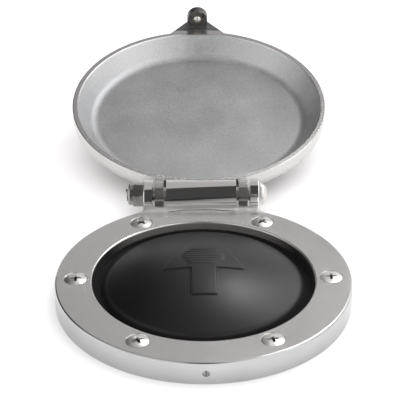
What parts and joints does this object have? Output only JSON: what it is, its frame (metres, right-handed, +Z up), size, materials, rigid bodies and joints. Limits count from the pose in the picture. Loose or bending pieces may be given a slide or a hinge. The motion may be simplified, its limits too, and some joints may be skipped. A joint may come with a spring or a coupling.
{
  "type": "deck foot switch",
  "caption": "Round deck-mounted foot switch: a domed rubber push button in a screw-down metal ring, with a hinged dished cover that snaps shut over it.",
  "frame": {"origin": "centre of the deck ring on the deck surface", "axes": "+Z up out of the deck, +Y towards the hinge, -Y towards the latch, +X to the side of the hinge bolt's head"},
  "size_m": [0.1, 0.2145, 0.0903],
  "materials": {
    "ring_steel": "polished",
    "cover_steel": "satin blasted inside, polished outside",
    "screw_steel": "bright",
    "spring_steel": "drawn wire",
    "silver": "polished",
    "brass": "turned",
    "copper": "rolled",
    "button_rubber": "moulded, satin",
    "seal_rubber": "matt",
    "housing_plastic": "moulded",
    "plunger_plastic": "moulded",
    "insert_plastic": "moulded"
  },
  "bodies": {
    "base": {"base_ring": "ring_steel", "deck_screws": "screw_steel", "switch_body": "housing_plastic", "body_screws": "screw_steel", "deck_seal": "seal_rubber", "bottom_cover": "housing_plastic", "bottom_seal": "seal_rubber", "bottom_screws": "screw_steel", "terminal_stud_left": "brass", "terminal_stud_right": "brass", "fixed_contacts": "silver", "housing_washers": "screw_steel", "jam_nuts": "brass", "lug_washers": "screw_steel", "spring_washers": "spring_steel", "lug_nuts": "brass", "hinge_bolt": "screw_steel", "hinge_nut": "screw_steel", "nut_insert": "insert_plastic", "return_spring": "spring_steel"},
    "button": {"diaphragm": "button_rubber", "plunger": "plunger_plastic", "retaining_clip": "spring_steel", "contact_spring": "spring_steel"},
    "bridge": {"contact_bar": "copper", "bar_contacts": "silver"},
    "cover": {"cover": "cover_steel", "catch_sleeve": "brass", "catch_spring": "spring_steel"},
    "catch": {"catch_ball": "screw_steel"}
  },
  "joints": [
    {"name": "cover_hinge", "type": "hinge", "parent": "base", "child": "cover", "pos_m": [0, 0.0554, 0.0094], "axis": [1, 0, 0], "range_deg": [0, 169.5]},
    {"name": "button_press", "type": "slide", "parent": "base", "child": "button", "axis": [0, 0, -1], "range_m": [0, 0.004], "stiffness_N_per_m": 2500, "springref_m": -0.006, "deforming": ["return_spring", "diaphragm"]},
    {"name": "contact_float", "type": "slide", "parent": "button", "child": "bridge", "axis": [0, 0, 1], "range_m": [0, 0.0015], "deforming": ["contact_spring"]},
    {"name": "catch_press", "type": "slide", "parent": "cover", "child": "catch", "axis": [0, 0.9833, 0.1822], "range_m": [0, 0.0007], "stiffness_N_per_m": 500, "springref_m": -0.001, "deforming": ["catch_spring"]}
  ],
  "couplings": [
    {"joint": "contact_float", "follows": "button_press", "ratio": 0.375}
  ]
}
